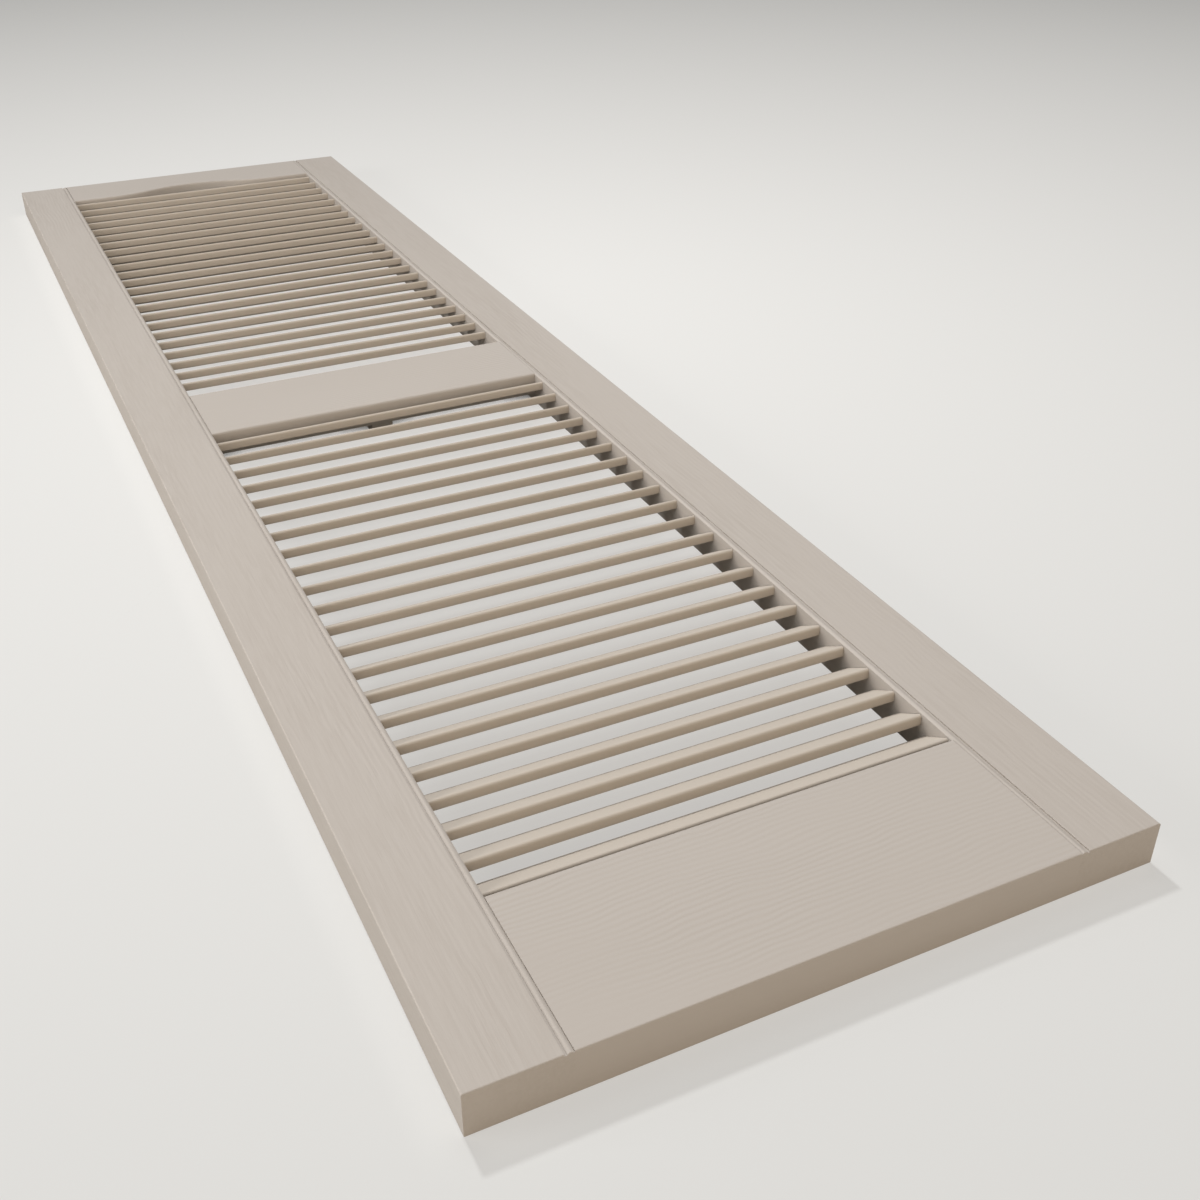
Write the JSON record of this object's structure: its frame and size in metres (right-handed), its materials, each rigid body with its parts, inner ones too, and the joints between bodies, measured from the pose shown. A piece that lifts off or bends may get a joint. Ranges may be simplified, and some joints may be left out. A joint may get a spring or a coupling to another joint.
{
  "type": "louvred shutter",
  "caption": "Exterior louvred shutter: beaded stiles, bottom, mid and low-arched top rails, and fixed sloping blades housed in the stiles in a lower and an upper bay.",
  "frame": {"origin": "middle of the back of the shutter, on the surface that it lies on", "axes": "+X across the shutter towards its right stile as the face is read, +Y along its length towards the arched top rail, +Z out of the face"},
  "size_m": [0.3682, 1.397, 0.0254],
  "materials": {
    "frame_paint": "matt taupe exterior paint over fine grain",
    "blade_paint": "matt taupe exterior paint over fine grain",
    "dowel_wood": "bare hardwood"
  },
  "bodies": {
    "root": {"stile_left": "frame_paint", "stile_right": "frame_paint", "rail_bottom": "frame_paint", "rail_mid": "frame_paint", "rail_top": "frame_paint", "mid_rail_packer": "frame_paint", "blade_lower_01": "blade_paint", "blade_lower_02": "blade_paint", "blade_lower_03": "blade_paint", "blade_lower_04": "blade_paint", "blade_lower_05": "blade_paint", "blade_lower_06": "blade_paint", "blade_lower_07": "blade_paint", "blade_lower_08": "blade_paint", "blade_lower_09": "blade_paint", "blade_lower_10": "blade_paint", "blade_lower_11": "blade_paint", "blade_lower_12": "blade_paint", "blade_lower_13": "blade_paint", "blade_lower_14": "blade_paint", "blade_lower_15": "blade_paint", "blade_lower_16": "blade_paint", "blade_lower_17": "blade_paint", "blade_lower_18": "blade_paint", "blade_lower_19": "blade_paint", "blade_lower_20": "blade_paint", "blade_lower_21": "blade_paint", "blade_lower_22": "blade_paint", "blade_upper_01": "blade_paint", "blade_upper_02": "blade_paint", "blade_upper_03": "blade_paint", "blade_upper_04": "blade_paint", "blade_upper_05": "blade_paint", "blade_upper_06": "blade_paint", "blade_upper_07": "blade_paint", "blade_upper_08": "blade_paint", "blade_upper_09": "blade_paint", "blade_upper_10": "blade_paint", "blade_upper_11": "blade_paint", "blade_upper_12": "blade_paint", "blade_upper_13": "blade_paint", "blade_upper_14": "blade_paint", "blade_upper_15": "blade_paint", "blade_upper_16": "blade_paint", "blade_upper_17": "blade_paint", "blade_upper_18": "blade_paint", "blade_upper_19": "blade_paint", "blade_upper_20": "blade_paint", "blade_upper_21": "blade_paint", "blade_upper_22": "blade_paint", "blade_upper_23": "blade_paint", "blade_upper_24": "blade_paint", "dowels_bottom_rail": "dowel_wood", "dowels_mid_rail": "dowel_wood", "dowels_top_rail": "dowel_wood"}
  },
  "joints": []
}
